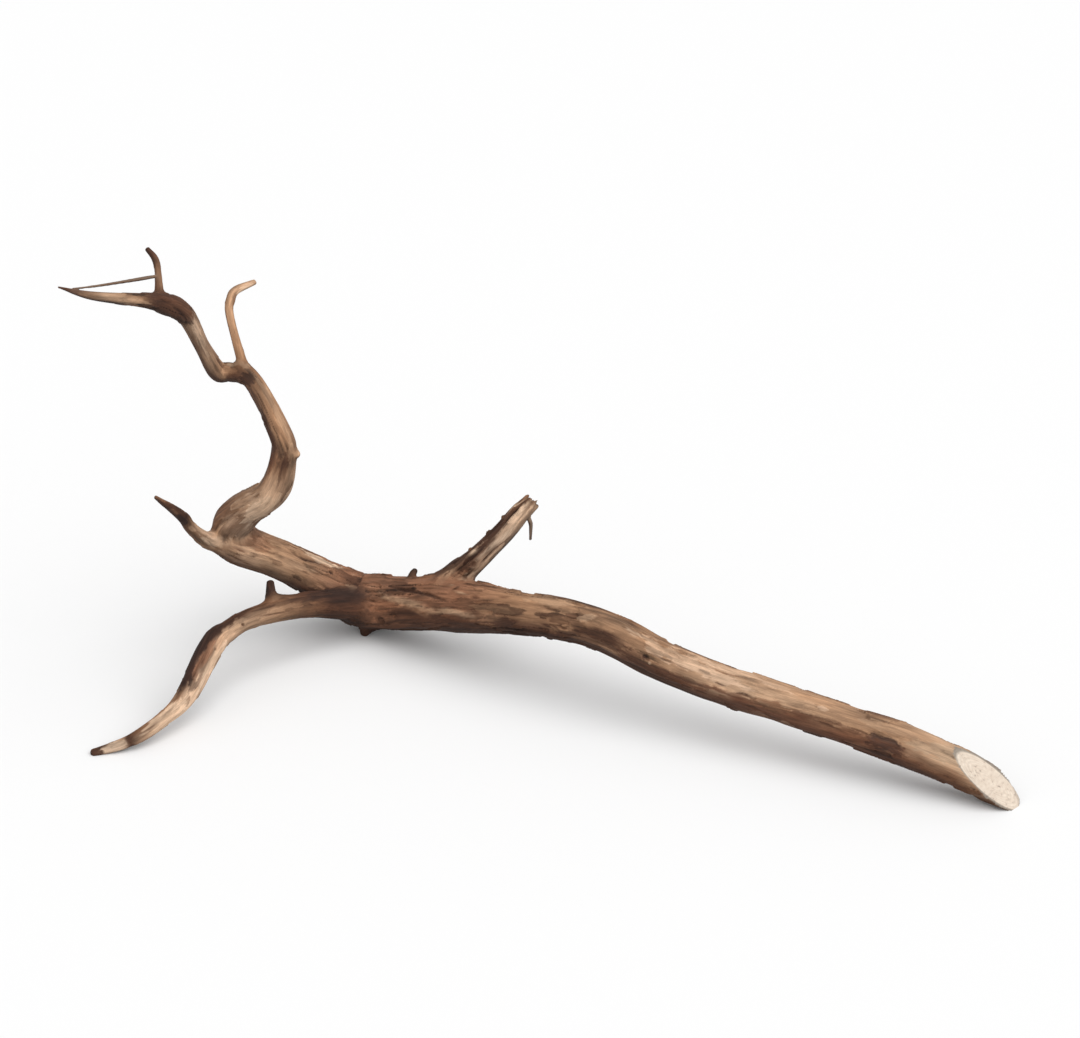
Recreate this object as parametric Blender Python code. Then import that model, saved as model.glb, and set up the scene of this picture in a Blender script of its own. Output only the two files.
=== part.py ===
"""A piece of driftwood: one long bent trunk, sawn off at one end and forked at the other.

Metres, +Z up.  It rests on Z = 0 at three places: the lip of the sawn end (front right), the tip
of the lower limb (front left) and a blunt knob under the thick belly of the trunk (back).
The wood grew as one piece, so every limb is united with the trunk into one closed body.
"""

import math

import bmesh
import bpy
from mathutils import Matrix, Vector

MM = 0.001

# ---------------------------------------------------------------------------------------------
# Sizes, in millimetres and degrees.  A limb runs in reaches, each of them a length, a bearing
# (0 is +X, 90 is +Y), a climb above the horizontal, and the radius that it ends with.  A smooth
# curve rounds off the bends between them.
# ---------------------------------------------------------------------------------------------

TRUNK_START = (400, -164, 18)
SAW_AT = 8                      # where the saw cut crosses the trunk's axis
SAW_BEARING, SAW_CLIMB = -45, 50
SAW_BLOCK = 160                 # edge of the block that takes the waste away
SAW_WASTE = 70                  # length of trunk before its start, for the saw to trim
GROUND_BLOCK = (1000, 600, 60)  # trims the three resting places flat at Z = 0

TRUNK_RADIUS = 16
TRUNK = [
    (95, 155, 12, 16.5),
    (205, 153, 5, 17.5),
    (95, 150, 11, 19),        # up to the top of the low arch
    (95, 150, -4, 21.5),
    (90, 146, -12, 25),
    (80, 150, -14, 25.5),       # the belly, the thickest wood
    (35, 172, 22, 21),
    (60, 183, 31, 17),
    (50, 197, 31, 17.5),         # the fork
    (22, 205, 35, 12),
]

# name: parent, distance along it, radius at the root, reaches
LIMBS = {
    "upper_limb": ("trunk", 800, 13, [
        (28, 205, 66, 19),      # the shoulder, bulging to the left
        (32, -35, 50, 17.5),
        (45, -35, 40, 14.5),
        (52, -52, 66, 11.5),
        (32, -100, 66, 10),
        (54, 177, 65, 8.5),     # the knee, where the limb steps back
        (22, 155, 10, 8.5),
        (12, 190, 12, 8.5),
        (36, -122, 58, 6.5),
        (46, -118, 60, 8),
        (24, -150, 38, 8.5),    # a knotty swelling
        (18, -150, 20, 6.5),
        (54, -145, 18, 4),
        (30, -168, 20, 1),
    ]),
    "lower_limb": ("trunk", 655, 16, [
        (30, -140, 17, 14),
        (50, -148, 16, 11.5),
        (65, -139, 8, 9.5),
        (30, -137, -8, 10),
        (20, -128, -15, 11),
        (60, -113, -26, 9.5),
        (35, -125, -15, 7),
        (35, -140, -14, 5.5),
        (36, -165, -13, 4),     # rests on the ground
    ]),
    "left_twig": ("trunk", 810, 12, [
        (32, -145, 22, 8),
        (35, -122, 45, 5.5),
        (24, -112, 52, 5),
        (54, -116, 43, 2),
    ]),
    "back_limb": ("trunk", 593, 16, [
        (42, 3, 47, 13),
        (24, -15, 46, 10.5),
        (36, 15, 42, 9.5),
        (28, 10, 50, 9),
        (21, 25, 38, 8),        # broken off short
    ]),
    "knee_twig": ("upper_limb", 247, 5.5, [
        (22, 125, 58, 4.5),
        (40, 114, 50, 4),
        (14, 85, 55, 4),
        (10, 55, 40, 3.5),
        (22, 45, 5, 2),
    ]),
    "knot_twig": ("upper_limb", 388, 4, [
        (26, 97, 48, 3),
        (14, 110, 55, 3),
        (12, 145, 42, 2),
    ]),
    "rootlet": ("knot_twig", 25, 1.2, [     # hair-thin, down to the tip of the upper limb
        (55, -140, 6, 1),
        (32, -140, 8, 1),
    ]),
    "snag": ("lower_limb", 122, 9.5, [      # a short dead stub
        (14, 97, 40, 6),
        (18, 96, 32, 3.5),
    ]),
    "web": ("snag", 13, 5, [(14, 25, -20, 5.5), (14, 30, -30, 6)]),     # down to the limb again
    "trunk_stub": ("trunk", 617, 4.5, [(26, 60, 70, 3.5), (8, 50, 50, 2.5)]),
    "splinter": ("back_limb", 138, 3, [(14, -10, -65, 1.8), (19, -90, -85, 1)]),
    "spur": ("upper_limb", 155, 8.5, [(7, -15, 5, 5), (8, -15, 0, 1.5)]),
    "knob": ("trunk", 652, 13, [(22, -150, -62, 8), (13, -145, -60, 4)]),
}

TRUNK_MESH = (16, 14)           # sides round the section, spacing of the rings
THICK_MESH = (12, 10)           # for a limb that starts thicker than THICK_ROOT
TWIG_MESH = (8, 7)
HAIR_MESH = (6, 8)              # for one that starts thinner than HAIR_ROOT
THICK_ROOT, HAIR_ROOT = 10, 4


# ---------------------------------------------------------------------------------------------
# Shapes
# ---------------------------------------------------------------------------------------------

def heading(bearing, climb):
    """The unit vector of a bearing and a climb in degrees."""
    b, c = math.radians(bearing), math.radians(climb)
    return Vector((math.cos(c) * math.cos(b), math.cos(c) * math.sin(b), math.sin(c)))


def walk(start, radius, reaches):
    """Stations (x, y, z, radius) at the start and at the end of each reach."""
    point = Vector(start)
    stations = [(*point, radius)]
    for length, bearing, climb, end_radius in reaches:
        point = point + length * heading(bearing, climb)
        stations.append((*point, end_radius))
    return stations


def place_on(reaches, stations, distance):
    """The point at a distance from the root, measured along the reaches."""
    for reach, low, high in zip(reaches, stations, stations[1:]):
        if distance <= reach[0]:
            return Vector(low[:3]).lerp(Vector(high[:3]), distance / reach[0])
        distance -= reach[0]
    return Vector(stations[-1][:3])


def mesh_size(root_radius):
    """Sides and ring spacing that suit a limb."""
    if root_radius > THICK_ROOT:
        return THICK_MESH
    return TWIG_MESH if root_radius >= HAIR_ROOT else HAIR_MESH


def curve_point(a, b, c, d, t):
    """The point at t between b and c on the smooth curve through a, b, c, d."""
    return 0.5 * ((2 * b) + (c - a) * t + (2 * a - 5 * b + 4 * c - d) * t * t
                  + (3 * b - a - 3 * c + d) * t * t * t)


def centre_line(stations, spacing):
    """Evenly spaced 4-vectors (x, y, z, radius), in metres, along a smooth curve."""
    pts = [Vector(s) * MM for s in stations]
    pts = [2 * pts[0] - pts[1]] + pts + [2 * pts[-1] - pts[-2]]
    fine = [pts[1]]
    for i in range(1, len(pts) - 2):
        for k in range(1, 17):
            fine.append(curve_point(pts[i - 1], pts[i], pts[i + 1], pts[i + 2], k / 16))
    run = [0.0]
    for p, q in zip(fine, fine[1:]):
        run.append(run[-1] + (q.xyz - p.xyz).length)
    count = max(2, round(run[-1] / (spacing * MM)))
    line, j = [], 0
    for i in range(count + 1):
        want = run[-1] * i / count
        while j < len(run) - 2 and run[j + 1] < want:
            j += 1
        line.append(fine[j].lerp(fine[j + 1], (want - run[j]) / (run[j + 1] - run[j])))
    return line


def section(angle, along):
    """Radius factor of the slightly lobed, slowly twisting cross-section."""
    turn = along / 0.11
    return (1 + 0.045 * math.cos(2 * angle + turn) + 0.030 * math.cos(3 * angle - 1.4 * turn)
            + 0.015 * math.cos(5 * angle + 0.7 * turn))


def loft(name, stations, sides, spacing):
    """A closed tapering tube along the stations, with blunt rounded ends."""
    line = centre_line(stations, spacing)
    bm = bmesh.new()
    rings = []
    along = 0.0
    side_ref = Vector((0.3, 0.9, 0.2))
    for i, point in enumerate(line):
        before, after = line[max(i - 1, 0)], line[min(i + 1, len(line) - 1)]
        ahead = (after.xyz - before.xyz).normalized()
        side_ref = (side_ref - ahead * side_ref.dot(ahead)).normalized()
        third = ahead.cross(side_ref)
        along += (point.xyz - line[max(i - 1, 0)].xyz).length
        ring = []
        for k in range(sides):
            a = 2 * math.pi * k / sides
            r = point.w * section(a, along)
            offset = side_ref * (r * math.cos(a)) + third * (r * math.sin(a))
            ring.append(bm.verts.new(point.xyz + offset))
        rings.append(ring)
    for low, high in zip(rings, rings[1:]):
        for k in range(sides):
            n = (k + 1) % sides
            bm.faces.new((low[k], low[n], high[n], high[k]))
    for ring, end, inner in ((rings[0], line[0], line[1]), (rings[-1], line[-1], line[-2])):
        out = (end.xyz - inner.xyz).normalized()
        pole = bm.verts.new(end.xyz + out * (0.45 * end.w))
        for k in range(sides):
            bm.faces.new((ring[k], ring[(k + 1) % sides], pole))
    bmesh.ops.triangulate(bm, faces=bm.faces[:])
    bmesh.ops.recalc_face_normals(bm, faces=bm.faces[:])
    return add_object(name, bm)


def block(name, size, matrix):
    """A box of the given edge lengths (mm), placed by the matrix."""
    bm = bmesh.new()
    bmesh.ops.create_cube(bm, size=1.0)
    bmesh.ops.scale(bm, vec=Vector(size) * MM, verts=bm.verts[:])
    bmesh.ops.transform(bm, matrix=matrix, verts=bm.verts[:])
    return add_object(name, bm)


def add_object(name, bm):
    mesh = bpy.data.meshes.new(name)
    bm.to_mesh(mesh)
    bm.free()
    obj = bpy.data.objects.new(name, mesh)
    bpy.context.scene.collection.objects.link(obj)
    return obj


def combine(target, tool, operation):
    """Unite the tool with the target, or cut it away, and hide the tool."""
    mod = target.modifiers.new(operation.lower() + "_" + tool.name, "BOOLEAN")
    mod.operation = operation
    mod.solver = "EXACT"
    mod.object = tool
    tool.hide_render = True
    tool.display_type = "WIRE"


def wood_material():
    mat = bpy.data.materials.new("weathered_wood")
    mat.use_nodes = True
    shader = mat.node_tree.nodes["Principled BSDF"]
    shader.inputs["Base Color"].default_value = (0.27, 0.16, 0.09, 1.0)
    shader.inputs["Roughness"].default_value = 0.8
    shader.inputs["Metallic"].default_value = 0.0
    return mat


# ---------------------------------------------------------------------------------------------
# The piece
# ---------------------------------------------------------------------------------------------

for old in list(bpy.data.objects):
    bpy.data.objects.remove(old, do_unlink=True)

reaches_of = {"trunk": TRUNK}
stations_of = {"trunk": walk(TRUNK_START, TRUNK_RADIUS, TRUNK)}

waste_end = Vector(TRUNK_START) - SAW_WASTE * heading(*TRUNK[0][1:3])
driftwood = loft("driftwood", [(*waste_end, TRUNK_RADIUS)] + stations_of["trunk"], *TRUNK_MESH)

for limb_name, (parent, distance, root_radius, limb_reaches) in LIMBS.items():
    root = place_on(reaches_of[parent], stations_of[parent], distance)
    reaches_of[limb_name] = limb_reaches
    stations_of[limb_name] = walk(root, root_radius, limb_reaches)
    combine(driftwood, loft(limb_name, stations_of[limb_name], *mesh_size(root_radius)), "UNION")

saw_out = heading(SAW_BEARING, SAW_CLIMB)
sawn_end = place_on(TRUNK, stations_of["trunk"], SAW_AT)
saw_middle = (sawn_end + saw_out * (0.5 * SAW_BLOCK)) * MM
saw_turn = saw_out.to_track_quat("Z", "Y").to_matrix().to_4x4()
saw_block = block("saw_block", (SAW_BLOCK,) * 3, Matrix.Translation(saw_middle) @ saw_turn)
combine(driftwood, saw_block, "DIFFERENCE")

ground_block = block("ground_block", GROUND_BLOCK,
                     Matrix.Translation((0.0, 0.0, -0.5 * GROUND_BLOCK[2] * MM)))
combine(driftwood, ground_block, "DIFFERENCE")

driftwood.data.materials.append(wood_material())
for face in driftwood.data.polygons:
    face.use_smooth = True
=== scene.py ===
import math

import bmesh
import bpy
import numpy as np
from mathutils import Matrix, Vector


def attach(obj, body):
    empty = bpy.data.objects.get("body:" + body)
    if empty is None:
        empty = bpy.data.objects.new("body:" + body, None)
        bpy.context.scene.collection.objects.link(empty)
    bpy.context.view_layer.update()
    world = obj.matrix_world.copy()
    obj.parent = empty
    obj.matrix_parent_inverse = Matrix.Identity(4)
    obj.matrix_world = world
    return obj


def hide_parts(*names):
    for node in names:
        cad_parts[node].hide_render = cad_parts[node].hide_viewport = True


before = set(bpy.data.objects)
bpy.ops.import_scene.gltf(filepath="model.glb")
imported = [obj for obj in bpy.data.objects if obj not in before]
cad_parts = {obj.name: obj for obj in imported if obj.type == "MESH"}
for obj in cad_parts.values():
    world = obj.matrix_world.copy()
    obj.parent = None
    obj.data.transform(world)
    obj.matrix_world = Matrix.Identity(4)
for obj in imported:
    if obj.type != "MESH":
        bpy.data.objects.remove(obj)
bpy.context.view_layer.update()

# The driftwood is one solid skin grown around the centre lines of its limbs, the same reaches as
# the CAD part's.  Lengths are in millimetres until the mesh is made.  A reach is a length, a
# bearing (0 is +X, 90 is +Y), a climb above the horizontal and the radius that it ends with.

TRUNK_START = (400, -164, 18)
SAW_AT = 8                      # where the saw cut crosses the trunk's axis
SAW_BEARING, SAW_CLIMB = -45, 50
SAW_WASTE = 70

TRUNK_RADIUS = 16
TRUNK = [
    (95, 155, 12, 16.5),
    (205, 153, 5, 17.5),
    (95, 150, 11, 19),          # up to the top of the low arch
    (95, 150, -4, 21.5),
    (90, 146, -12, 25),
    (80, 150, -14, 25.5),       # the belly, the thickest wood
    (35, 172, 22, 21),
    (60, 183, 31, 17),
    (50, 197, 31, 17.5),        # the fork
    (22, 205, 35, 12),
]

# name: parent, distance along it, radius at the root, reaches
BRANCHES = {
    "upper_limb": ("trunk", 800, 13, [
        (28, 205, 66, 19),      # the shoulder, bulging to the left
        (32, -35, 50, 17.5),
        (45, -35, 40, 14.5),
        (52, -52, 66, 11.5),
        (32, -100, 66, 10),
        (54, 177, 65, 8.5),     # the knee, where the limb steps back
        (22, 155, 10, 8.5),
        (12, 190, 12, 8.5),
        (36, -122, 58, 6.5),
        (46, -118, 60, 8),
        (24, -150, 38, 8.5),    # a knotty swelling
        (18, -150, 20, 6.5),
        (54, -145, 18, 4),
        (30, -168, 20, 1),
    ]),
    "lower_limb": ("trunk", 655, 16, [
        (30, -140, 17, 14),
        (50, -148, 16, 11.5),
        (65, -139, 8, 9.5),
        (30, -137, -8, 10),
        (20, -128, -15, 11),
        (60, -113, -26, 9.5),
        (35, -125, -15, 7),
        (35, -140, -14, 5.5),
        (36, -165, -13, 4),     # rests on the ground
    ]),
    "left_twig": ("trunk", 810, 12, [
        (32, -145, 22, 8),
        (35, -122, 45, 5.5),
        (24, -112, 52, 5),
        (54, -116, 43, 2),
    ]),
    "back_limb": ("trunk", 593, 16, [
        (42, 3, 47, 13),
        (24, -15, 46, 10.5),
        (36, 15, 42, 9.5),
        (28, 10, 50, 9),
        (21, 25, 38, 8),        # broken off short
    ]),
    "knee_twig": ("upper_limb", 247, 5.5, [
        (22, 125, 58, 4.5),
        (40, 114, 50, 4),
        (14, 85, 55, 4),
        (10, 55, 40, 3.5),
        (22, 45, 5, 2),
    ]),
    "knot_twig": ("upper_limb", 388, 4, [
        (26, 97, 48, 3),
        (14, 110, 55, 3),
        (12, 145, 42, 2),
    ]),
    "rootlet": ("knot_twig", 25, 1.2, [     # hair-thin, down to the tip of the upper limb
        (55, -140, 6, 1),
        (32, -140, 8, 1),
    ]),
    "snag": ("lower_limb", 122, 9.5, [      # a short dead stub
        (14, 97, 40, 6),
        (18, 96, 32, 3.5),
    ]),
    "web": ("snag", 13, 5, [(14, 25, -20, 5.5), (14, 30, -30, 6)]),     # down to the limb again
    "trunk_stub": ("trunk", 617, 4.5, [(26, 60, 70, 3.5), (8, 50, 50, 2.5)]),
    "splinter": ("back_limb", 138, 3, [(14, -10, -65, 1.8), (19, -90, -85, 1)]),
    "spur": ("upper_limb", 155, 8.5, [(7, -15, 5, 5), (8, -15, 0, 1.5)]),
    "knob": ("trunk", 652, 13, [(22, -150, -62, 8), (13, -145, -60, 4)]),
}

VOXEL = 0.85     # the grain of the skin before it is thinned out
TRIANGLES = 190000
MM = 0.001                              # a millimetre in metres
FLOOR_SIZE = 12                         # metres
NEAR_SAW = 330                          # the cut lies beyond this x
CUT_SLACK = 0.62                        # voxels under the saw's plane that are moved onto it
CUT_COLOUR = 0.12                       # how far under the plane the cut's colour reaches
BROKEN = {"back_limb": 17}              # limbs that end in splinters, and how deep the end is torn

# Wood colours, sRGB 0-255.
PALETTE = {
    "cream": (222, 194, 168), "pale": (204, 172, 145), "sand": (180, 147, 119),
    "tan": (157, 122, 94), "clay": (143, 101, 76), "brown": (122, 87, 63),
    "russet": (108, 70, 50), "umber": (84, 54, 38), "dark": (60, 37, 27), "black": (40, 27, 21),
    "grey": (170, 147, 124), "ash": (120, 103, 90), "plum": (80, 60, 54),
}

# How widely each limb melts into its parent, the side of it that is painted lighter as if lit,
# and its skin: millimetres from the root, the lit side's colour, the shaded side's colour.
# The tones along a limb are its wood's own; each lit and shaded pair is painted light and shade.
SKINS = {
    "trunk": (0, (0.15, -0.45, 0.88), [
        (0, "grey", "brown"), (60, "sand", "russet"), (110, "tan", "russet"),
        (250, "sand", "russet"), (330, "tan", "umber"), (380, "tan", "umber"),
        (480, "tan", "umber"), (540, "clay", "umber"), (640, "clay", "umber"),
        (700, "clay", "umber"), (745, "tan", "umber"), (780, "sand", "brown"),
        (825, "pale", "brown")]),
    "upper_limb": (9, (0.6, -0.75, 0.3), [
        (0, "clay", "umber"), (30, "sand", "umber"), (50, "pale", "brown"), (80, "cream", "tan"),
        (115, "pale", "tan"), (150, "tan", "russet"), (190, "tan", "umber"),
        (235, "tan", "umber"), (250, "brown", "umber"), (275, "tan", "umber"),
        (310, "sand", "brown"), (355, "pale", "tan"), (368, "brown", "umber"),
        (400, "umber", "dark"), (415, "tan", "brown"), (450, "sand", "umber"),
        (475, "umber", "dark")]),
    "lower_limb": (14, (0.72, -0.55, -0.10), [
        # From 30 to 62 mm the limb runs under the trunk; its umber and dark there are partly the
        # trunk's painted shadow, partly dark bark.
        (0, "brown", "umber"), (30, "umber", "dark"), (62, "umber", "dark"), (85, "brown", "umber"),
        (115, "tan", "brown"), (160, "sand", "umber"), (200, "pale", "dark"),
        (250, "pale", "dark"), (270, "cream", "tan"), (318, "pale", "brown"),
        (328, "brown", "umber"), (336, "cream", "sand"), (352, "sand", "umber"),
        (358, "umber", "dark")]),
    "left_twig": (7, (0.3, -0.6, 0.7), [
        (0, "sand", "brown"), (30, "pale", "tan"), (75, "sand", "brown"), (90, "umber", "dark"),
        (105, "tan", "umber"), (145, "brown", "umber")]),
    "back_limb": (12, (0.55, -0.8, 0.2), [
        (0, "clay", "umber"), (40, "sand", "umber"), (70, "pale", "umber"),
        (110, "pale", "umber"), (150, "cream", "brown")]),
    "knee_twig": (7, (0.2, -0.5, 0.8), [
        (0, "brown", "umber"), (20, "tan", "umber"), (80, "sand", "brown"), (105, "pale", "tan")]),
    "knot_twig": (5, (0.7, -0.5, 0.3), [
        (0, "umber", "dark"), (15, "tan", "brown"), (45, "umber", "dark")]),
    "rootlet": (1, (0.3, -0.5, 0.8), [(0, "ash", "umber"), (90, "ash", "umber")]),
    # The snag and its web sit under the trunk; their dark and black skins are partly painted shade.
    "snag": (6, (0.5, -0.5, 0.5), [(0, "umber", "dark"), (15, "dark", "black")]),
    "web": (6, (0.5, -0.5, 0.5), [(0, "dark", "black"), (28, "dark", "black")]),
    "trunk_stub": (3, (0.3, -0.5, 0.5), [(0, "umber", "dark"), (28, "black", "black")]),
    "splinter": (3, (0.3, -0.5, 0.5), [(0, "sand", "tan"), (12, "ash", "umber")]),
    "spur": (7, (0.5, -0.3, 0.8), [(0, "sand", "brown"), (15, "pale", "brown")]),
    # The knob hangs under the trunk; its dark skin is partly painted shade.
    "knob": (8, (0.3, -0.5, 0.5), [(0, "umber", "dark"), (30, "dark", "dark")]),
}
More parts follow.
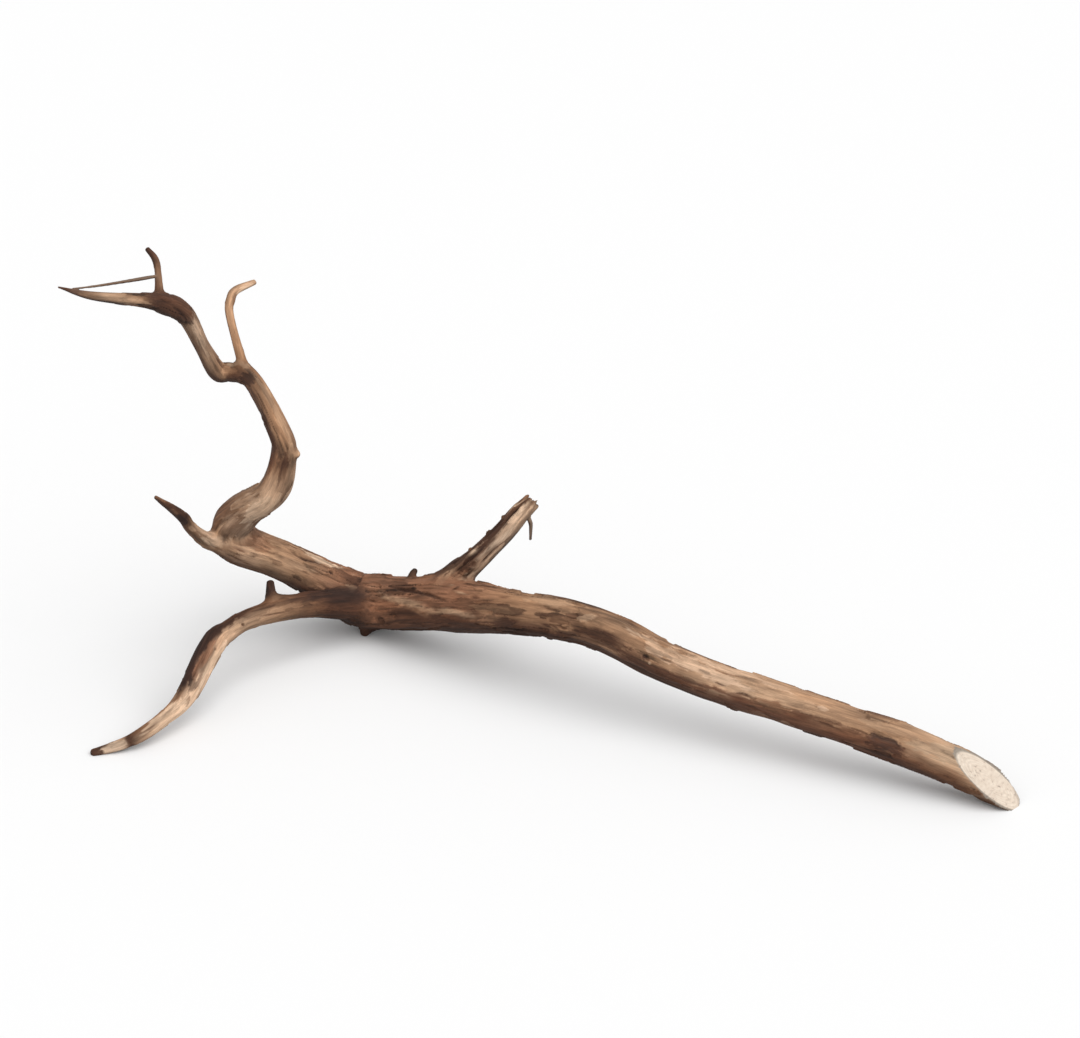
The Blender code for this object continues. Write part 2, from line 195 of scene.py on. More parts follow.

# Marks on the wood: weathering, and painted shade where a comment below says so.  Most grooves
# take dark colours and most ridges pale ones, partly the wood's own and partly painted shade in
# the hollows and painted highlight on the crests.  A mark is its kind, millimetres from the limb's
# root, degrees round it, length, width, how much it leans across the grain, colour, strength of
# the colour, and height.  Round a limb, 0 faces the front and 90 faces up where the limb runs left
# and right where it rises.
MARKS = {
    "trunk": [
        ("patch", 45, 48, 85, 16, 0, "grey", 0.60, 0.2),
        ("patch", 45, -12, 90, 13, 0, "brown", 0.50, 0),
        ("patch", 105, 60, 58, 12, 0, "sand", 0.60, 0.4),
        ("patch", 106, 7, 36, 17, 0.1, "plum", 0.72, -1.2),
        ("patch", 107, -24, 30, 10, 0, "dark", 0.70, 0),
        ("patch", 180, 0, 190, 17, 0, "russet", 0.60, 0),
        ("patch", 305, -10, 150, 16, 0, "russet", 0.50, 0),
        ("groove", 130, 24, 36, 3.5, 0.03, "umber", 0.80, -1.0),
        ("groove", 160, 10, 56, 3, 0.05, "umber", 0.75, -0.8),
        ("patch", 168, 60, 13, 6, 0, "pale", 0.80, 0.5),
        ("patch", 195, 56, 55, 11, 0, "sand", 0.70, -0.3),
        ("patch", 215, 14, 52, 10, 0, "brown", 0.60, -0.4),
        ("groove", 227, -10, 66, 3.5, 0.04, "umber", 0.85, -1.0),
        ("groove", 285, -10, 26, 5, 0, "russet", 0.70, -0.6),
        ("patch", 295, 54, 132, 14, 0.03, "pale", 0.85, -0.7),
        ("patch", 260, 84, 112, 8, 0, "pale", 0.70, 0.4),
        ("groove", 262, 70, 66, 2.5, 0, "brown", 0.65, -0.7),
        ("groove", 310, 36, 60, 2.5, 0.04, "brown", 0.60, -0.6),
        ("groove", 265, 28, 14, 3, 0, "dark", 0.90, -1.0),
        ("patch", 388, 4, 56, 18, 0, "umber", 0.70, 0.4),
        ("patch", 350, 4, 28, 12, 0, "umber", 0.60, 0.3),
        ("knot", 340, 18, 7, 6, 0, "dark", 0.90, -1.3),
        ("patch", 334, 8, 5, 3, 0, "pale", 0.80, 0.5),
        ("patch", 385, 80, 50, 10, 0, "tan", 0.60, 0.3),
        ("patch", 418, 52, 16, 9, 0, "umber", 0.70, -0.5),
        ("patch", 405, 52, 16, 9, -0.3, "sand", 0.85, 0.9),
        ("groove", 440, 57, 32, 3, 0, "umber", 0.75, -0.7),
        ("patch", 447, 84, 62, 12, 0, "sand", 0.60, 0.6),
        ("groove", 470, 24, 70, 2.5, 0.03, "brown", 0.55, -0.6),
        ("patch", 640, 16, 48, 28, 0, "clay", 0.50, 0),
        ("patch", 652, 62, 34, 16, 0, "clay", 0.50, 0),
        ("patch", 590, -25, 95, 14, 0, "umber", 0.55, 0),
        ("patch", 500, 35, 52, 9, 0, "tan", 0.50, 0.3),
        ("ridge", 602, 38, 100, 12, 0.24, "sand", 0.90, 2.4),
        ("ridge", 590, 20, 56, 8, 0.26, "tan", 0.45, 1.2),
        ("ridge", 545, 18, 66, 11, 0.08, "sand", 0.85, 1.9),
        ("groove", 585, 58, 100, 6, 0.18, "dark", 0.85, -2.4),
        ("groove", 642, 38, 20, 3, 0, "umber", 0.75, -0.9),
        ("groove", 612, 78, 46, 2.5, 0.06, "umber", 0.60, -0.7),
        ("knot", 634, -1, 11, 8, 0.1, "umber", 0.75, -1.4),
        ("ridge", 553, 84, 12, 4, 0, "sand", 0.80, 1.2),
        ("ridge", 538, 66, 22, 4, 0.15, "sand", 0.80, 1.2),
        ("groove", 548, 74, 10, 5, 0, "umber", 0.85, -1.2),
        ("groove", 522, 60, 15, 6, 0, "umber", 0.80, -0.9),
        ("groove", 492, 70, 17, 5, 0, "umber", 0.75, -0.8),
        ("groove", 480, -16, 50, 4, 0, "dark", 0.90, -1.2),
        ("patch", 686, 40, 22, 8, 0, "sand", 0.70, 0.5),
        # The next two darken the trunk's underside beside the knob and over the lower limb's root:
        # partly painted shade, partly dark wood.
        ("patch", 666, -38, 34, 22, 0, "umber", 0.70, 0),
        ("patch", 715, -52, 56, 18, 0, "dark", 0.75, 0),
        ("groove", 708, 15, 20, 4, 0, "umber", 0.80, -0.8),
        ("patch", 722, 92, 50, 7, 0, "cream", 0.75, 0.6),
        ("groove", 740, 74, 58, 6, 0.03, "dark", 0.90, -2.0),
        ("knot", 714, 63, 6, 5, 0, "dark", 0.90, -1.0),
        ("groove", 745, 45, 54, 2.5, 0, "brown", 0.60, -0.6),
        ("groove", 762, 95, 32, 3, 0, "umber", 0.80, -0.8),
        ("patch", 770, 40, 72, 12, 0, "sand", 0.50, 0.3),
        ("groove", 780, 62, 28, 2.5, 0, "brown", 0.60, -0.5),
        ("patch", 800, 62, 40, 20, 0, "clay", 0.55, 0),
        ("groove", 812, 12, 20, 4, 0, "russet", 0.75, -0.8),
        ("patch", 820, -6, 16, 9, 0, "sand", 0.75, 0.4),
        # the back, which weathered in the same way
        ("patch", 150, 175, 120, 16, 0.02, "sand", 0.60, -0.6),
        ("groove", 240, 150, 90, 3.5, 0.03, "umber", 0.80, -1.2),
        ("patch", 360, 165, 80, 18, 0, "umber", 0.60, 0.5),
        ("groove", 430, 190, 70, 3, 0.04, "umber", 0.80, -1.2),
        ("knot", 500, 160, 12, 9, 0, "dark", 0.85, -1.6),
        ("ridge", 580, 170, 80, 7, -0.15, "sand", 0.70, 1.5),
        ("groove", 620, 140, 60, 4, 0.1, "umber", 0.85, -1.4),
        ("patch", 740, 180, 70, 14, 0, "pale", 0.60, 0.4),
    ],
    "upper_limb": [
        ("patch", 12, -75, 20, 16, 0, "dark", 0.90, -1.5),
        ("patch", 45, -60, 34, 13, 0, "brown", 0.60, 0),
        ("ridge", 30, 4, 9, 3, 0, "cream", 0.80, 0.9),
        ("groove", 32, 14, 12, 2.5, 0.3, "brown", 0.65, -0.6),
        ("patch", 85, 18, 52, 24, 0, "cream", 0.75, 0.2),
        ("patch", 140, -75, 66, 9, 0, "umber", 0.65, 0),
        ("patch", 162, -25, 44, 9, 0, "brown", 0.50, 0),
        ("patch", 150, 46, 62, 9, 0, "sand", 0.60, 0.3),
        ("patch", 215, -50, 72, 10, 0, "umber", 0.60, -0.3),
        ("patch", 212, 50, 80, 7, 0, "sand", 0.65, 0.3),
        ("groove", 225, -5, 46, 2, 0.04, "umber", 0.65, -0.6),
        ("patch", 248, 0, 13, 16, 0, "dark", 0.85, -0.7),
        ("patch", 262, 80, 20, 4, 0, "grey", 0.70, 0.3),
        ("patch", 264, 0, 18, 12, 0, "umber", 0.55, 0),
        ("patch", 290, 76, 18, 5, 0, "umber", 0.70, -0.4),
        ("patch", 320, -70, 72, 8, 0, "umber", 0.70, 0),
        ("patch", 335, 25, 52, 6, 0.03, "pale", 0.75, 0.3),
        ("groove", 325, 4, 44, 1.8, 0.03, "brown", 0.65, -0.6),
        ("patch", 386, 20, 52, 60, 0, "umber", 0.85, 0.9),
        ("groove", 376, 10, 24, 4, 0.15, "dark", 0.85, -1.2),
        ("ridge", 392, 55, 18, 7, 0.1, "russet", 0.50, 1.8),
        ("ridge", 378, -30, 20, 8, 0.2, "umber", 0.60, 2.0),
        ("ridge", 400, 15, 16, 8, -0.2, "umber", 0.60, 2.2),
        ("ridge", 364, 60, 13, 7, 0, "umber", 0.80, 1.6),
        ("knot", 362, -10, 6, 5, 0, "dark", 0.90, -1.2),
        ("patch", 425, 12, 38, 5, 0, "sand", 0.70, 0.2),
        ("patch", 445, -50, 42, 5, 0, "dark", 0.70, 0),
        ("patch", 462, 30, 18, 5, 0, "tan", 0.60, 0),
        ("patch", 90, 175, 70, 14, 0, "sand", 0.60, 0.3),
        ("groove", 130, 150, 60, 3, 0.05, "umber", 0.80, -1.0),
        ("knot", 200, 170, 8, 7, 0, "dark", 0.85, -1.2),
        ("patch", 300, 170, 60, 9, 0, "umber", 0.60, 0.3),
    ],
    "lower_limb": [
        # The top of the root, under the trunk, is darkened: partly painted shadow of the trunk,
        # partly dark bark.
        ("patch", 72, 80, 26, 13, 0, "dark", 0.65, 0),
        ("patch", 95, 70, 26, 8, 0, "umber", 0.60, 0),
        ("groove", 125, 12, 48, 3, 0.03, "umber", 0.70, -0.7),
        ("groove", 137, 58, 42, 3, 0, "umber", 0.70, -0.7),
        ("patch", 163, 18, 20, 11, 0, "sand", 0.70, 0.3),
        ("knot", 162, 10, 4.5, 4, 0, "umber", 0.85, -0.8),
        ("groove", 173, 38, 13, 2, 0.1, "umber", 0.75, -0.7),
        # The dark patch on the elbow's left side and the cream one on its right side are partly
        # painted shade and painted light, partly the wood's own colour.
        ("patch", 218, 66, 82, 17, 0, "dark", 0.92, 0.6),
        ("patch", 215, 20, 52, 7, 0, "clay", 0.60, -0.2),
        ("patch", 215, -36, 72, 9, 0, "cream", 0.80, 0.2),
        ("patch", 272, 60, 24, 9, 0.1, "brown", 0.70, 0.3),
        ("patch", 288, 18, 52, 16, 0, "cream", 0.80, 0),
        ("groove", 308, 42, 28, 2.5, 0.05, "brown", 0.70, -0.5),
        ("groove", 328, 20, 9, 24, 0, "umber", 0.90, -0.8),
        ("patch", 343, 20, 26, 10, 0, "cream", 0.80, 0),
        ("patch", 361, 0, 14, 20, 0, "umber", 0.95, 0.2),
        ("groove", 130, 170, 60, 3, 0.04, "umber", 0.80, -1.0),
        ("patch", 240, 170, 60, 10, 0, "umber", 0.60, 0.3),
    ],
    "left_twig": [
        ("patch", 36, 30, 42, 10, 0, "cream", 0.70, 0.3),
        ("groove", 50, -8, 34, 2, 0, "brown", 0.60, -0.5),
        ("patch", 90, 10, 22, 9, 0, "dark", 0.90, -0.4),
        ("groove", 115, -40, 32, 2, 0, "umber", 0.70, -0.4),
    ],
    "back_limb": [
        ("patch", 42, -75, 66, 10, 0, "dark", 0.75, 0.4),
        ("patch", 46, -20, 40, 8, 0, "clay", 0.60, 0),
        ("patch", 52, 30, 38, 9, 0, "cream", 0.85, 0.2),
        ("groove", 60, -38, 38, 4, 0.05, "umber", 0.80, -2.0),
        ("groove", 68, -10, 7, 8, 0, "umber", 0.85, -1.4),
        ("ridge", 74, -55, 16, 5, 0.1, "cream", 0.80, 1.2),
        ("ridge", 73, -95, 7, 6, 0, "tan", 0.60, 1.8),
        ("groove", 86, 16, 54, 4, 0.04, "umber", 0.80, -2.4),
        ("patch", 90, 75, 54, 9, 0, "umber", 0.50, 0),
        ("ridge", 97, -105, 8, 6, 0, "tan", 0.50, 2.0),
        ("patch", 102, -70, 36, 11, 0, "umber", 0.80, -1.2),
        ("ridge", 102, -6, 62, 6, 0.05, "cream", 0.85, 1.4),
        ("ridge", 119, -98, 7, 6, 0, "tan", 0.50, 2.0),
        ("patch", 128, 46, 24, 10, 0, "sand", 0.70, -0.3),
        ("groove", 132, -50, 42, 3, 0, "dark", 0.90, -2.4),
        ("ridge", 138, -25, 36, 5, 0, "cream", 0.85, 1.4),
        ("ridge", 138, -86, 34, 5, 0, "cream", 0.85, 1.0),
        ("groove", 110, 165, 70, 3, 0.04, "umber", 0.80, -1.4),
        ("groove", 80, 130, 60, 3, -0.05, "umber", 0.75, -1.2),
        ("ridge", 120, 140, 50, 5, 0, "sand", 0.70, 1.2),
    ],
    "knee_twig": [
        ("patch", 50, -70, 54, 5, 0, "umber", 0.60, 0),
        ("patch", 96, 30, 28, 7, 0, "cream", 0.80, 0),
    ],
}


# ---------------------------------------------------------------------------------------------
# Noise that repeats exactly
# ---------------------------------------------------------------------------------------------

def lattice(x, y, z, seed):
    h = (x.astype(np.uint32) * np.uint32(73856093)) ^ (y.astype(np.uint32) * np.uint32(19349663))
    h ^= (z.astype(np.uint32) * np.uint32(83492791)) ^ np.uint32((seed * 2654435761) & 0xFFFFFFFF)
    h ^= h >> np.uint32(13)
    h *= np.uint32(1274126177)
    h ^= h >> np.uint32(16)
    h *= np.uint32(2246822519)
    h ^= h >> np.uint32(15)
    return (h & np.uint32(0xFFFFFF)).astype(np.float32) / 8388607.5 - 1.0


def noise(x, y, z, seed=0):
    """Smooth noise in about -1..1 with features one unit apart."""
    cells = [np.floor(c).astype(np.int64) for c in (x, y, z)]
    f = [(c - i).astype(np.float32) for c, i in zip((x, y, z), cells)]
    w = [t * t * t * (t * (t * 6 - 15) + 10) for t in f]
    total = 0
    for dx in (0, 1):
        for dy in (0, 1):
            for dz in (0, 1):
                weight = ((w[0] if dx else 1 - w[0]) * (w[1] if dy else 1 - w[1])
                          * (w[2] if dz else 1 - w[2]))
                corner = lattice(cells[0] + dx, cells[1] + dy, cells[2] + dz, seed)
                total = total + weight * corner
    return total * 1.25


def layered(x, y, z, seed, octaves=3, gain=0.5):
    total, size = 0, 0
    for k in range(octaves):
        f = 2.07 ** k
        total = total + gain ** k * noise(x * f, y * f, z * f, seed + 17 * k)
        size += gain ** k
    return total / size


def ramp(low, high, value):
    t = np.clip((value - low) / (high - low), 0, 1)
    return t * t * (3 - 2 * t)


def linear(name):
    c = np.array(PALETTE[name]) / 255.0
    return np.where(c <= 0.04045, c / 12.92, ((c + 0.055) / 1.055) ** 2.4)


# ---------------------------------------------------------------------------------------------
# Limbs
# ---------------------------------------------------------------------------------------------

def heading(bearing, climb):
    """The unit vector of a bearing and a climb in degrees."""
    b, c = math.radians(bearing), math.radians(climb)
    return np.array((math.cos(c) * math.cos(b), math.cos(c) * math.sin(b), math.sin(c)))


def walk(start, radius, reaches):
    """Stations (x, y, z, radius) at the start and at the end of each reach."""
    point = np.array(start, float)
    stations = [(*point, radius)]
    for length, bearing, climb, end_radius in reaches:
        point = point + length * heading(bearing, climb)
        stations.append((*point, end_radius))
    return stations


def place_on(reaches, stations, distance):
    """The point at a distance from the root, measured along the reaches."""
    for reach, low, high in zip(reaches, stations, stations[1:]):
        if distance <= reach[0]:
            return np.array(low[:3]) + (np.array(high[:3]) - low[:3]) * (distance / reach[0])
        distance -= reach[0]
    return np.array(stations[-1][:3])


class Limb:
    """The centre line of one limb, with the frame that its grain runs in."""

    def __init__(self, name, stations, number, waste=0):
        melt, painted_lit_side, skin = SKINS[name]
        self.name, self.melt, self.number, self.waste = name, melt, number, waste
        p = np.array(stations, float)
        p = np.vstack([2 * p[0] - p[1], p, 2 * p[-1] - p[-2]])
        line = []
        for i in range(1, len(p) - 2):
            a, b, c, d = p[i - 1:i + 3]
            steps = max(3, int(np.linalg.norm((c - b)[:3]) / 1.5))
            t = (np.arange(steps) / steps)[:, None]
            line.append(0.5 * (2 * b + (c - a) * t + (2 * a - 5 * b + 4 * c - d) * t ** 2
                               + (3 * b - a - 3 * c + d) * t ** 3))
        line.append(p[-2][None])
        line = np.vstack(line)
        self.line, self.radius = line[:, :3], np.maximum(line[:, 3], 0.4)
        gaps = np.linalg.norm(np.diff(self.line, axis=0), axis=1)
        self.run = np.concatenate([[0], np.cumsum(gaps)])
        ahead = np.gradient(self.line, axis=0)
        self.ahead = ahead / np.linalg.norm(ahead, axis=1)[:, None]
        one = np.zeros_like(self.line)
        ref = np.array((0.3, 0.9, 0.2))
        for i, t in enumerate(self.ahead):
            ref = ref - t * ref.dot(t)
            ref = ref / np.linalg.norm(ref)
            one[i] = ref
        self.one, self.two = one, np.cross(self.ahead, one)
        front = np.array((0.0, -1.0, 0.0)) + self.ahead[:, 1:2] * self.ahead
        self.front = front / np.linalg.norm(front, axis=1)[:, None]
        self.beside = np.cross(self.ahead, self.front)
        side = np.array(painted_lit_side, float)
        self.painted_lit_side = side / np.linalg.norm(side)
        self.skin_at = np.array([s[0] for s in skin]) + waste
        self.lit_side_skin = np.array([linear(s[1]) for s in skin])
        self.shaded_side_skin = np.array([linear(s[2]) for s in skin])
        reach = self.radius.max() + 20
        self.low, self.high = self.line.min(0) - reach, self.line.max(0) + reach

    def coordinates(self, q):
        """Where the points q lie along and across the limb."""
        best = np.empty(len(q), np.int64)
        line = self.line.astype(np.float32)
        length = (line ** 2).sum(1)
        for k in range(0, len(q), 20000):
            part = q[k:k + 20000].astype(np.float32)
            square = (part ** 2).sum(1)[:, None] + length[None] - 2 * part @ line.T
            to_skin = np.sqrt(np.maximum(square, 0)) - self.radius[None].astype(np.float32)
            best[k:k + 20000] = np.argmin(to_skin, axis=1)
        off = q - self.line[best]
        slide = (off * self.ahead[best]).sum(1)
        last = len(self.line) - 1
        other = np.clip(best + np.where(slide > 0, 1, -1), 0, last)
        gap = np.abs(self.run[other] - self.run[best])
        mix = np.clip(np.abs(slide) / np.maximum(gap, 1e-6), 0, 1) * (other != best)
        m = mix[:, None]
        base = self.line[best] * (1 - m) + self.line[other] * m
        s = self.run[best] * (1 - mix) + self.run[other] * mix
        radius = self.radius[best] * (1 - mix) + self.radius[other] * mix
        off = q - base
        over = np.where(other == best, (off * self.ahead[best]).sum(1), 0.0)
        one = self.one[best] * (1 - m) + self.one[other] * m
        two = self.two[best] * (1 - m) + self.two[other] * m
        u, v = (off * one).sum(1), (off * two).sum(1)
        front, beside = (off * self.front[best]).sum(1), (off * self.beside[best]).sum(1)
        return dict(limb=self, s=s, u=u, v=v, radius=radius, over=over, off=off,
                    round=np.arctan2(beside, front), ahead=self.ahead[best])

    def girth(self, s, u, v, radius):
        """Radius of the lobed cross-section in the direction of u, v."""
        angle = np.arctan2(v, u)
        turn = s / 110.0
        return radius * (1 + 0.045 * np.cos(2 * angle + turn)
                         + 0.030 * np.cos(3 * angle - 1.4 * turn)
                         + 0.015 * np.cos(5 * angle + 0.7 * turn))


def grow():
    """All limbs, the trunk first; the trunk's centre line starts beyond the saw cut."""
    reaches_of = {"trunk": TRUNK}
    stations_of = {"trunk": walk(TRUNK_START, TRUNK_RADIUS, TRUNK)}
    waste_end = np.array(TRUNK_START) - SAW_WASTE * heading(*TRUNK[0][1:3])
    grown = [Limb("trunk", [(*waste_end, TRUNK_RADIUS)] + stations_of["trunk"], 0, SAW_WASTE)]
    for number, (name, (parent, distance, radius, reaches)) in enumerate(BRANCHES.items(), 1):
        root = place_on(reaches_of[parent], stations_of[parent], distance)
        reaches_of[name] = reaches
        stations_of[name] = walk(root, radius, reaches)
        grown.append(Limb(name, stations_of[name], number))
    return grown


SAW_POINT = place_on(TRUNK, walk(TRUNK_START, TRUNK_RADIUS, TRUNK), SAW_AT)
SAW_NORMAL = heading(SAW_BEARING, SAW_CLIMB)
limbs = grow()


def gather(q):
    """For each limb near the points q: which points, their grain coordinates and depth."""
    found = []
    for limb in limbs:
        near = np.nonzero(((q > limb.low) & (q < limb.high)).all(1))[0]
        if not len(near):
            continue
        f = limb.coordinates(q[near])
        reach = np.sqrt(f["u"] ** 2 + f["v"] ** 2 + (2.0 * f["over"]) ** 2)
        f["depth"] = reach - limb.girth(f["s"], f["u"], f["v"], f["radius"])
        f["out"] = f["off"] / np.maximum(np.linalg.norm(f["off"], axis=1), 1e-6)[:, None]
        f["at"] = near
        found.append(f)
    return found


def skin_level(q, found):
    """Signed distance to the melted-together skin, and the outward direction."""
    level = np.full(len(q), 1e3)
    out = np.zeros_like(q)
    for f in found:
        a, d, k = f["at"], f["depth"], max(f["limb"].melt, 0.5)
        old = level[a]
        blend = np.clip(0.5 + 0.5 * (old - d) / k, 0, 1)
        level[a] = old * (1 - blend) + d * blend - k * blend * (1 - blend)
        out[a] = out[a] * (1 - blend)[:, None] + f["out"] * blend[:, None]
    out /= np.maximum(np.linalg.norm(out, axis=1), 1e-6)[:, None]
    return level, out


def shares(q, found, soft=3.5):
    """How much each limb's grain counts at each point; they add up to one."""
    nearest = np.full(len(q), 1e3)
    for f in found:
        nearest[f["at"]] = np.minimum(nearest[f["at"]], f["depth"])
    total = np.zeros(len(q))
    for f in found:
        limb = f["limb"]
        rooted = 1.0 if limb.name == "trunk" else ramp(0.5, 2.0, f["s"] / limb.radius[0])
        f["share"] = np.exp(-(f["depth"] - nearest[f["at"]]) / soft) * (0.02 + 0.98 * rooted)
        total[f["at"]] += f["share"]
    for f in found:
        f["share"] = f["share"] / total[f["at"]]


# ---------------------------------------------------------------------------------------------
# Relief and colour of the wood
# ---------------------------------------------------------------------------------------------

def twisted(limb, s, u, v):
    turn = s * (0.0022 if limb.number % 2 == 0 else -0.003)
    c, d = np.cos(turn), np.sin(turn)
    return u * c - v * d, u * d + v * c


def mark_masks(f):
    """Each mark on the limb: its row in MARKS, how much it covers each point, and its shape."""
    limb, s = f["limb"], f["s"] - f["limb"].waste
    a, b = twisted(limb, f["s"], f["u"], f["v"])
    n = 100 * limb.number
    ragged = (0.34 * noise(s / 10, a / 2.4, b / 2.4, n + 40)
              + 0.16 * noise(s / 4, a / 1.1, b / 1.1, n + 41))
    wander = 1.6 * noise(s / 22, a / 30, b / 30, n + 42)
    for mark in MARKS.get(limb.name, []):
        kind, along, around, length, width, lean = mark[:6]
        ds = s - along
        turn = (f["round"] - math.radians(around) + math.pi) % (2 * math.pi) - math.pi
        dw = turn * f["radius"] - lean * ds
        if kind in ("groove", "ridge"):
            dw = dw + wander * min(1.0, length / 40)
        reach = np.sqrt((2 * ds / length) ** 2 + (2 * dw / width) ** 2)
        if kind == "patch":
            yield mark, 1 - ramp(0.80, 1.0, reach + ragged), reach
        elif kind == "knot":
            yield mark, 1 - ramp(0.55, 1.05, reach + 0.3 * ragged), reach
        else:
            yield mark, 1 - ramp(0.15, 1.0, reach + 0.6 * ragged), reach


def relief(f):
    """Height of the wood over the plain limb in mm, with its bark, crack and fibre amounts."""
    limb, s, radius = f["limb"], f["s"], f["radius"]
    a, b = twisted(limb, s, f["u"], f["v"])
    n = 100 * limb.number
    size = np.clip(radius / 16.0, 0.22, 1.25)
    lumps = 0.9 * noise(s / 55, a / 26, b / 26, n + 1) + 0.5 * noise(s / 24, a / 14, b / 14, n + 2)
    flutes = (0.75 * noise(s / 110, a / 8.5, b / 8.5, n + 3)
              + 0.45 * noise(s / 60, a / 4.6, b / 4.6, n + 4))
    fibres = 0.30 * layered(s / 42, a / 2.6, b / 2.6, n + 5, 2)
    ragged = (layered(s / 46, a / 13, b / 13, n + 6, 3)
              + 0.30 * noise(s / 14, a / 2.4, b / 2.4, n + 7))
    bark = ramp(-0.05, 0.09, ragged)
    edge = ramp(0.0, 0.05, ragged) * (1 - ramp(0.06, 0.22, ragged))
    seam = np.abs(noise(s / 170, a / 4.8, b / 4.8, n + 8))
    where = ramp(0.10, 0.50, noise(s / 70, a / 12, b / 12, n + 9))
    crack = (1 - ramp(0.0, 0.12, seam)) * where
    height = size * (1.15 * lumps + 1.1 * flutes + fibres + 1.0 * bark + 0.35 * edge - 1.3 * crack)
    for mark, cover, reach in mark_masks(f):
        height = height + mark[8] * cover
        if mark[0] == "knot":
            height = height + 0.6 * np.exp(-((reach - 1.25) / 0.28) ** 2)
    return height, bark, crack, fibres


def colour(f, out, bark, crack, fibres):
    limb, s = f["limb"], f["s"]
    a, b = twisted(limb, s, f["u"], f["v"])
    n = 100 * limb.number
    pale = np.stack([np.interp(s, limb.skin_at, limb.lit_side_skin[:, k]) for k in range(3)], 1)
    dark = np.stack([np.interp(s, limb.skin_at, limb.shaded_side_skin[:, k]) for k in range(3)], 1)
    # Painted light and shade: towards its painted lit side each limb turns from its shaded-side
    # colour to its lit-side colour, broken up by mottle and bark.
    facing = out @ limb.painted_lit_side
    mottle = layered(s / 38, a / 11, b / 11, n + 20, 3)
    mix = ramp(-0.08, 1.0, facing + 0.60 * mottle - 0.45 * (bark - 0.5))
    tint = dark + (pale - dark) * mix[:, None]
    streak = layered(s / 26, a / 1.9, b / 1.9, n + 22, 2)
    # Lightness follows the relief: raised fibres are lighter and cracks darker, partly grain and
    # partly painted highlight and painted shade.
    light = 0.86 + 0.32 * streak + 0.16 * mottle - 0.20 * (bark - 0.5) + 0.40 * fibres
    light = light * (1 - 0.75 * crack)
    # Painted shade: down-facing wood is darkened by up to a half.
    light = light * (1 - 0.50 * ramp(0.10, -0.70, out[:, 2]))
    red = 1 + 0.04 * noise(s / 50, a / 15, b / 15, n + 23)
    for mark, cover, _ in mark_masks(f):
        part = (mark[7] * cover)[:, None]
        tint = tint * (1 - part) + linear(mark[6]) * part
    tint = tint * light[:, None] * np.stack([1.05 * red, np.ones_like(red), 0.95 * (2 - red)], 1)
    return np.clip(tint, 0.004, 0.9)


# ---------------------------------------------------------------------------------------------
# The skin
# ---------------------------------------------------------------------------------------------

def tube(limb, sides, step):
    """A closed tube round the limb, as vertices and faces."""
    count = max(3, int(limb.run[-1] / step))
    want = np.linspace(0, limb.run[-1], count)
    verts, faces = [], []
    angle = np.arange(sides) * 2 * np.pi / sides

    def at(field):
        return np.stack([np.interp(want, limb.run, field[:, k]) for k in range(3)], 1)

    line, one, two = at(limb.line), at(limb.one), at(limb.two)
    radius = np.interp(want, limb.run, limb.radius)
    for i in range(count):
        u, v = np.cos(angle), np.sin(angle)
        girth = limb.girth(np.full(sides, want[i]), u, v, np.full(sides, radius[i]))
        verts.append(line[i] + (one[i] * u[:, None] + two[i] * v[:, None]) * girth[:, None])
    for i in range(count - 1):
        for k in range(sides):
            m = (k + 1) % sides
            faces.append((i * sides + k, i * sides + m, (i + 1) * sides + m, (i + 1) * sides + k))
    verts = list(np.vstack(verts))
    first, last = len(verts), len(verts) + 1
    verts.append(line[0] - limb.ahead[0] * 0.5 * radius[0])
    verts.append(line[-1] + limb.ahead[-1] * 0.5 * radius[-1])
    for k in range(sides):
        m = (k + 1) % sides
        faces.append((m, k, first))
        faces.append(((count - 1) * sides + k, (count - 1) * sides + m, last))
    return verts, faces


def put(name, data):
    """An object in the scene."""
    obj = bpy.data.objects.new(name, data)
    bpy.context.scene.collection.objects.link(obj)
    return obj


def applied(obj):
    """The object's mesh with its modifiers applied; the object and its own mesh are removed."""
    mesh = obj.data
    graph = bpy.context.evaluated_depsgraph_get()
    done = bpy.data.meshes.new_from_object(obj.evaluated_get(graph))
    bpy.data.objects.remove(obj)
    bpy.data.meshes.remove(mesh)
    return done


def rough_skin():
    """All limbs merged into one even mesh: vertex array and quads."""
    bm = bmesh.new()
    for limb in limbs:
        part = bmesh.new()
        widest = limb.radius.max()
        verts, faces = tube(limb, 24 if widest > 8 else 14, 3.0 if widest > 4 else 1.5)
        made = [part.verts.new(Vector(v) * MM) for v in verts]
        for f in faces:
            part.faces.new([made[i] for i in f])
        if limb.waste:
            geom = part.verts[:] + part.edges[:] + part.faces[:]
            cut = bmesh.ops.bisect_plane(part, geom=geom, plane_co=Vector(SAW_POINT) * MM,
                                         plane_no=Vector(SAW_NORMAL), clear_outer=True)
            rim = [e for e in cut["geom_cut"] if isinstance(e, bmesh.types.BMEdge)]
            bmesh.ops.contextual_create(part, geom=rim)
        bmesh.ops.recalc_face_normals(part, faces=part.faces[:])
        mesh = bpy.data.meshes.new("part")
        part.to_mesh(mesh)
        part.free()
        bm.from_mesh(mesh)
        bpy.data.meshes.remove(mesh)
    mesh = bpy.data.meshes.new("rough")
    bm.to_mesh(mesh)
    bm.free()
    rough = put("rough", mesh)
    remesh = rough.modifiers.new("remesh", "REMESH")
    remesh.mode = "VOXEL"
    remesh.voxel_size = VOXEL * MM
    return applied(rough)


def read_points(mesh):
    co = np.empty(len(mesh.vertices) * 3, np.float32)
    mesh.vertices.foreach_get("co", co)
    return co.reshape(-1, 3).astype(float) * 1000


def write_points(mesh, q):
    mesh.vertices.foreach_set("co", (q * MM).astype(np.float32).ravel())
    mesh.update()


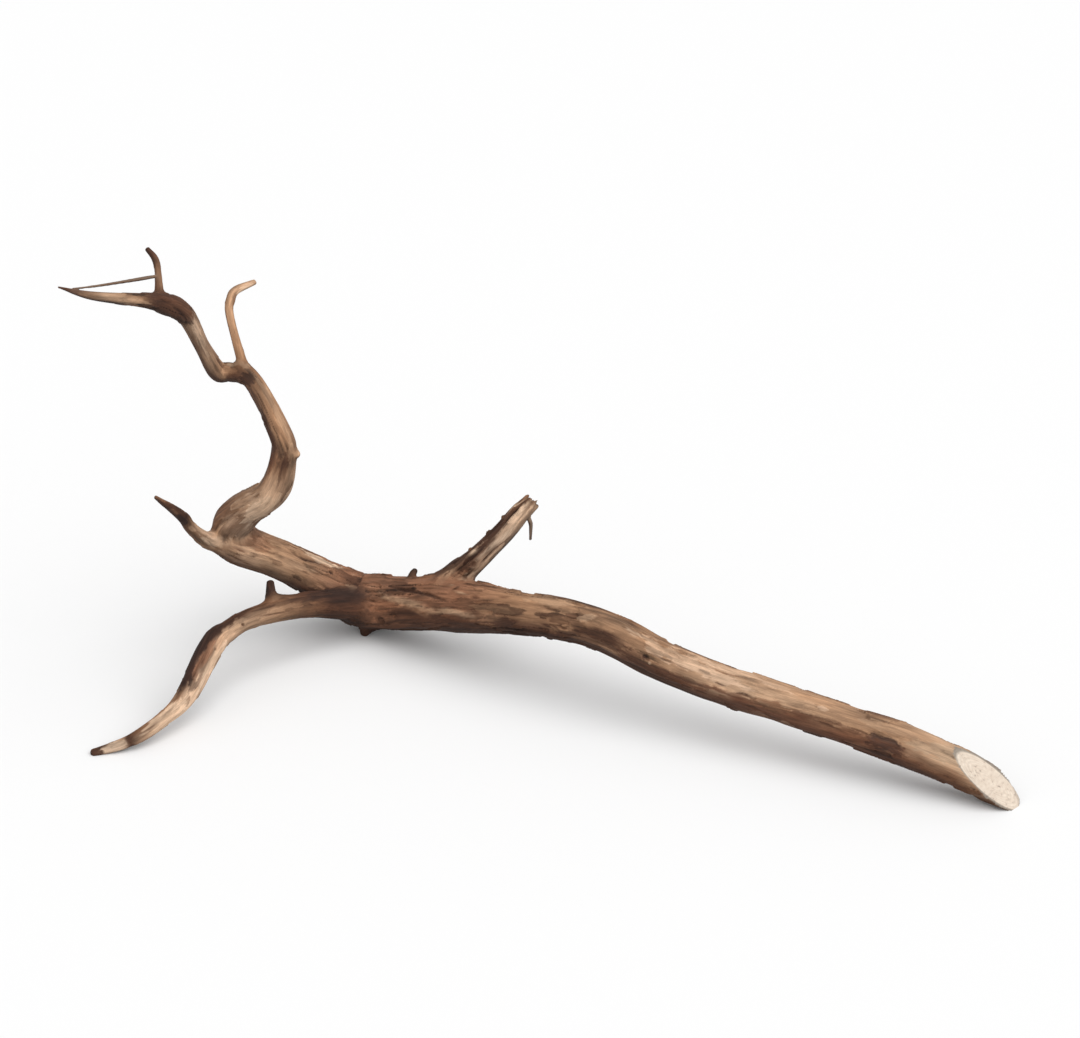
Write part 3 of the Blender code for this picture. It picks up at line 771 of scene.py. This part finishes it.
def neighbours_mean(q, edges):
    total = np.zeros_like(q)
    count = np.bincount(edges.ravel(), minlength=len(q)).astype(float)
    for k in range(3):
        total[:, k] = (np.bincount(edges[:, 0], q[edges[:, 1], k], len(q))
                       + np.bincount(edges[:, 1], q[edges[:, 0], k], len(q)))
    return total / np.maximum(count, 1)[:, None]


def torn(f):
    """How far back the splintered end of a broken limb is torn along its grain."""
    limb = f["limb"]
    if limb.name not in BROKEN:
        return np.zeros(len(f["s"]))
    deep = BROKEN[limb.name]
    a, b = twisted(limb, f["s"], f["u"], f["v"])
    splinters = 0.5 + 0.5 * layered(f["s"] / 90, a / 3.2, b / 3.2, 90, 2)
    return deep * ramp(limb.run[-1] - 1.6 * deep, limb.run[-1], f["s"]) * np.clip(splinters, 0, 1)


def carve(mesh):
    """Moves the even mesh onto the melted skin, then gives it its relief."""
    q = read_points(mesh)
    edges = np.empty(len(mesh.edges) * 2, np.int32)
    mesh.edges.foreach_get("vertices", edges)
    edges = edges.reshape(-1, 2)
    plane = (q - SAW_POINT) @ SAW_NORMAL
    near_saw = q[:, 0] > NEAR_SAW
    on_cut = near_saw & (plane > -CUT_SLACK * VOXEL)
    for turn in range(3):
        level, out = skin_level(q, gather(q))
        out = np.where(on_cut[:, None], out - (out @ SAW_NORMAL)[:, None] * SAW_NORMAL, out)
        level = np.where(on_cut, np.maximum(level, 0), level)
        q = q - out * np.clip(level, -4, 4)[:, None]
        plane = (q - SAW_POINT) @ SAW_NORMAL
        q = np.where(on_cut[:, None], q - plane[:, None] * SAW_NORMAL, q)
        if turn < 2:
            smooth = neighbours_mean(q, edges)
            move = smooth - q
            move = move - (move * out).sum(1)[:, None] * out
            q = q + np.where(on_cut, 0.3, 0.6)[:, None] * move
    found = gather(q)
    level, out = skin_level(q, found)
    shares(q, found)
    height = np.zeros(len(q))
    for f in found:
        height[f["at"]] += f["share"] * relief(f)[0]
    inner = on_cut & (level < -0.4)
    height = np.where(inner, 0, height)
    q = q + out * height[:, None]
    for f in found:
        q[f["at"]] -= f["ahead"] * (f["share"] * torn(f))[:, None]
    plane = (q - SAW_POINT) @ SAW_NORMAL
    over = np.where(on_cut, plane, np.where(near_saw, np.maximum(plane, 0), 0))
    q = q - over[:, None] * SAW_NORMAL
    q[:, 2] = np.maximum(q[:, 2], 0)
    write_points(mesh, q)


def thin_out(mesh):
    """Fewer, better placed triangles."""
    obj = put("thin", mesh)
    count = sum(len(p.vertices) - 2 for p in mesh.polygons)
    if count > TRIANGLES:
        mod = obj.modifiers.new("decimate", "DECIMATE")
        mod.ratio = TRIANGLES / count
        mod.use_collapse_triangulate = True
    return applied(obj)


def store(mesh, name, kind, field, values):
    """Keeps a value for each vertex, which the material reads by its name."""
    values = values.astype(np.float32).ravel()
    mesh.attributes.new(name, kind, "POINT").data.foreach_set(field, values)


def paint(mesh):
    """Stores the wood's tint and grain coordinates on the vertices."""
    q = read_points(mesh)
    found = gather(q)
    _, out = skin_level(q, found)
    shares(q, found)
    tint = np.zeros((len(q), 3))
    grain = np.zeros((len(q), 3))
    top = np.zeros(len(q))
    for f in found:
        a = f["at"]
        _, bark, crack, fibres = relief(f)
        tint[a] += f["share"][:, None] * colour(f, out[a], bark, crack, fibres)
        lead = f["share"] > top[a]
        one, two = twisted(f["limb"], f["s"], f["u"], f["v"])
        mine = np.stack([f["s"] + 1000 * f["limb"].number, one, two], 1)
        grain[a[lead]] = mine[lead]
        top[a] = np.maximum(top[a], f["share"])
    plane = (q - SAW_POINT) @ SAW_NORMAL
    cut = ((plane > -CUT_COLOUR) & (q[:, 0] > NEAR_SAW)).astype(float)
    store(mesh, "tint", "FLOAT_COLOR", "color", np.column_stack([tint, np.ones(len(q))]))
    store(mesh, "grain", "FLOAT_VECTOR", "vector", grain)
    store(mesh, "clear", "FLOAT", "value", np.clip(2 * top - 1, 0, 1))
    store(mesh, "cut", "FLOAT", "value", cut)


# ---------------------------------------------------------------------------------------------
# Materials
# ---------------------------------------------------------------------------------------------

def node(tree, kind, where=(0, 0), **inputs):
    n = tree.nodes.new(kind)
    n.location = where
    for key, value in inputs.items():
        n.inputs[key.replace("_", " ")].default_value = value
    return n


def wood_material():
    mat = bpy.data.materials.new("weathered_wood")
    mat.use_nodes = True
    tree = mat.node_tree
    link = tree.links.new
    shader = tree.nodes["Principled BSDF"]
    shader.inputs["Metallic"].default_value = 0.0
    shader.inputs["Specular IOR Level"].default_value = 0.28

    def attribute(name):
        n = tree.nodes.new("ShaderNodeAttribute")
        n.attribute_name = name
        return n

    tint, grain, clear, cut = (attribute(n) for n in ("tint", "grain", "clear", "cut"))

    def grained(scale_along, scale_across, detail, rough=0.6):
        stretch = node(tree, "ShaderNodeVectorMath")
        stretch.operation = "MULTIPLY"
        stretch.inputs[1].default_value = (scale_along, scale_across, scale_across)
        link(grain.outputs["Vector"], stretch.inputs[0])
        tex = node(tree, "ShaderNodeTexNoise", Scale=1.0, Detail=detail, Roughness=rough)
        link(stretch.outputs[0], tex.inputs["Vector"])
        return tex.outputs["Fac"]

    def remap(value, low, high, out_low, out_high):
        n = node(tree, "ShaderNodeMapRange")
        n.inputs["From Min"].default_value = low
        n.inputs["From Max"].default_value = high
        n.inputs["To Min"].default_value = out_low
        n.inputs["To Max"].default_value = out_high
        link(value, n.inputs["Value"])
        return n.outputs["Result"]

    def maths(op, a, b):
        n = node(tree, "ShaderNodeMath")
        n.operation = op
        for i, x in enumerate((a, b)):
            if isinstance(x, (int, float)):
                n.inputs[i].default_value = x
            else:
                link(x, n.inputs[i])
        return n.outputs[0]

    fine = grained(0.06, 1.3, 3.0)
    hair = grained(0.12, 3.4, 2.0)
    streaks = maths("ADD", remap(fine, 0.3, 0.7, -0.20, 0.20), remap(hair, 0.35, 0.65, -0.10, 0.10))
    streaks = maths("MULTIPLY", streaks, clear.outputs["Fac"])
    gain = maths("ADD", streaks, 1.0)
    shade = node(tree, "ShaderNodeVectorMath")
    shade.operation = "SCALE"
    link(tint.outputs["Color"], shade.inputs[0])
    link(gain, shade.inputs["Scale"])

    # The sawn face: cream end grain with faint rings, grey specks and a thin dark rim.
    place = node(tree, "ShaderNodeTexCoord")
    spots = node(tree, "ShaderNodeTexNoise", Scale=300.0, Detail=3.0, Roughness=0.6)
    link(place.outputs["Object"], spots.inputs["Vector"])
    face = node(tree, "ShaderNodeValToRGB")
    ramp_stops = face.color_ramp
    ramp_stops.elements[0].position, ramp_stops.elements[0].color = 0.30, (0.36, 0.29, 0.24, 1)
    ramp_stops.elements[1].position, ramp_stops.elements[1].color = 0.38, (0.64, 0.53, 0.43, 1)
    high = ramp_stops.elements.new(0.75)
    high.color = (0.76, 0.66, 0.55, 1)
    link(spots.outputs["Fac"], face.inputs["Fac"])
    across = node(tree, "ShaderNodeVectorMath")
    across.operation = "MULTIPLY"
    across.inputs[1].default_value = (0, 1, 1)
    link(grain.outputs["Vector"], across.inputs[0])
    from_pith = node(tree, "ShaderNodeVectorMath")
    from_pith.operation = "LENGTH"
    link(across.outputs[0], from_pith.inputs[0])
    pith = from_pith.outputs["Value"]
    rings = remap(maths("SINE", maths("MULTIPLY", pith, 3.6), 0.0), -1, 1, 0.93, 1.03)
    rim = remap(pith, TRUNK_RADIUS - 1.3, TRUNK_RADIUS - 0.2, 1.0, 0.42)
    face_colour = node(tree, "ShaderNodeVectorMath")
    face_colour.operation = "SCALE"
    link(face.outputs["Color"], face_colour.inputs[0])
    link(maths("MULTIPLY", rings, rim), face_colour.inputs["Scale"])
    pick = node(tree, "ShaderNodeMix")
    pick.data_type = "RGBA"
    link(cut.outputs["Fac"], pick.inputs["Factor"])
    link(shade.outputs[0], pick.inputs["A"])
    link(face_colour.outputs[0], pick.inputs["B"])
    link(pick.outputs["Result"], shader.inputs["Base Color"])

    link(remap(fine, 0.3, 0.7, 0.86, 0.66), shader.inputs["Roughness"])
    bump = node(tree, "ShaderNodeBump", Strength=0.55, Distance=0.0005)
    both = maths("ADD", maths("MULTIPLY", fine, 0.8), maths("MULTIPLY", hair, 0.35))
    off_the_cut = maths("SUBTRACT", clear.outputs["Fac"], cut.outputs["Fac"])
    link(maths("MULTIPLY", both, off_the_cut), bump.inputs["Height"])
    link(bump.outputs["Normal"], shader.inputs["Normal"])
    return mat


def floor_material():
    mat = bpy.data.materials.new("floor")
    mat.use_nodes = True
    shader = mat.node_tree.nodes["Principled BSDF"]
    shader.inputs["Base Color"].default_value = (0.86, 0.86, 0.86, 1)
    shader.inputs["Roughness"].default_value = 0.9
    shader.inputs["Specular IOR Level"].default_value = 0.1
    return mat


# ---------------------------------------------------------------------------------------------
# The piece, the floor, the light and the camera
# ---------------------------------------------------------------------------------------------

skin = rough_skin()
carve(skin)
skin = thin_out(skin)
paint(skin)
skin.polygons.foreach_set("use_smooth", np.ones(len(skin.polygons), bool))
wood = put("driftwood_skin", skin)
skin.materials.append(wood_material())
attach(wood, "root")
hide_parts("driftwood")

bm = bmesh.new()
bmesh.ops.create_grid(bm, x_segments=1, y_segments=1, size=FLOOR_SIZE)
floor_mesh = bpy.data.meshes.new("floor")
bm.to_mesh(floor_mesh)
bm.free()
floor = put("floor", floor_mesh)
floor_mesh.materials.append(floor_material())


def soft_light(name, direction, spread, strength):
    """An even, distant light from a direction; spread is the angle that its softbox fills."""
    data = bpy.data.lights.new(name, "SUN")
    data.angle = math.radians(spread)
    data.energy = strength
    lamp = put(name, data)
    lamp.location = direction
    lamp.rotation_euler = Vector(direction).to_track_quat("Z", "Y").to_euler()


soft_light("key", direction=(0.7, -0.55, 1.5), spread=80, strength=2.05)

world = bpy.data.worlds.new("studio")
world.use_nodes = True
world.node_tree.nodes["Background"].inputs["Color"].default_value = (1, 1, 1, 1)
world.node_tree.nodes["Background"].inputs["Strength"].default_value = 0.60
scene = bpy.context.scene
scene.world = world
scene.view_settings.view_transform = "Standard"
scene.view_settings.look = "None"

camera_data = bpy.data.cameras.new("camera")
camera_data.lens = 90
camera_data.sensor_width = 36
camera_data.sensor_fit = "HORIZONTAL"
camera_data.dof.use_dof = False
camera = put("camera", camera_data)
camera.location = (-0.004, -2.1735, 1.305)
camera.rotation_euler = (math.radians(90 - 27), 0, 0)       # looking 27 degrees down
scene.camera = camera
